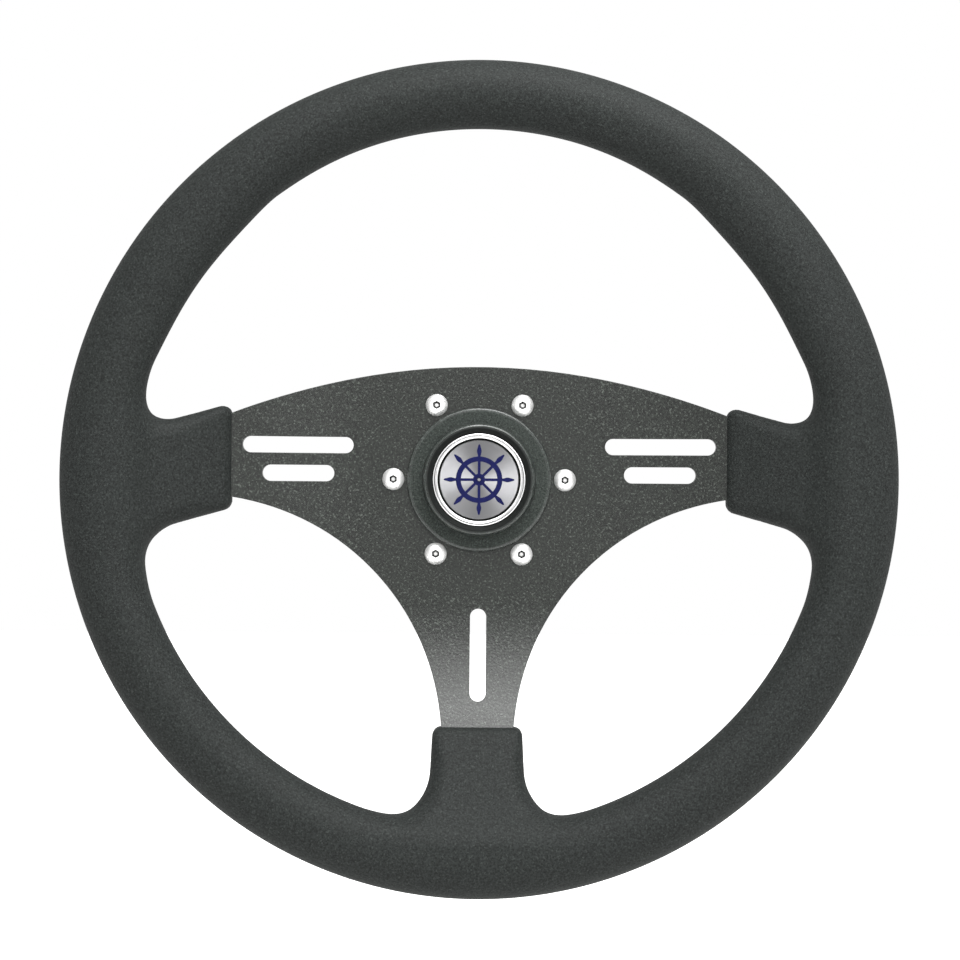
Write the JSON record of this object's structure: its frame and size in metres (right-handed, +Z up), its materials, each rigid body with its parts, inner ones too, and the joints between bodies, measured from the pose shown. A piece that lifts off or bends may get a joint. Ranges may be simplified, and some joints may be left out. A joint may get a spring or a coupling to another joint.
{
  "type": "boat steering wheel",
  "caption": "Dished three-spoke boat steering wheel with a soft moulded rim, slotted alloy spokes, a push-in centre cap and a hub bored for a tapered shaft.",
  "frame": {"origin": "centre of the hub's rear face, on the steering shaft's axis", "axes": "+Y runs back along the shaft, away from the driver; +X is to the driver's right; +Z is up the wheel, away from the lower spoke"},
  "size_m": [0.35, 0.094, 0.35],
  "materials": {
    "grip_foam": "fine-grained soft moulded skin, charcoal",
    "spoke_coating": "satin textured powder coat, dark grey",
    "hub_coating": "satin black paint on a casting",
    "ring_steel": "plain drawn bar, hidden",
    "screw_steel": "bright stainless",
    "rivet_alloy": "plain, hidden",
    "cap_plastic": "semi-gloss moulding, black",
    "seal_rubber": "smooth, black",
    "bezel_chrome": "bright plate",
    "disc_alloy": "spun, bright, with a navy enamel inlay"
  },
  "bodies": {
    "wheel": {"rim_grip": "grip_foam", "rim_ring": "ring_steel", "spoke_plate": "spoke_coating", "spoke_tab_left": "ring_steel", "spoke_tab_right": "ring_steel", "spoke_tab_lower": "ring_steel", "spoke_rivets": "rivet_alloy", "hub": "hub_coating", "hub_screws": "screw_steel"},
    "cap": {"centre_cap": "cap_plastic", "cap_o_ring": "seal_rubber", "emblem_bezel": "bezel_chrome", "emblem_disc": "disc_alloy"}
  },
  "joints": [
    {"name": "cap_pull", "type": "slide", "parent": "wheel", "child": "cap", "axis": [0, -1, 0], "range_m": [0, 0.045]}
  ]
}
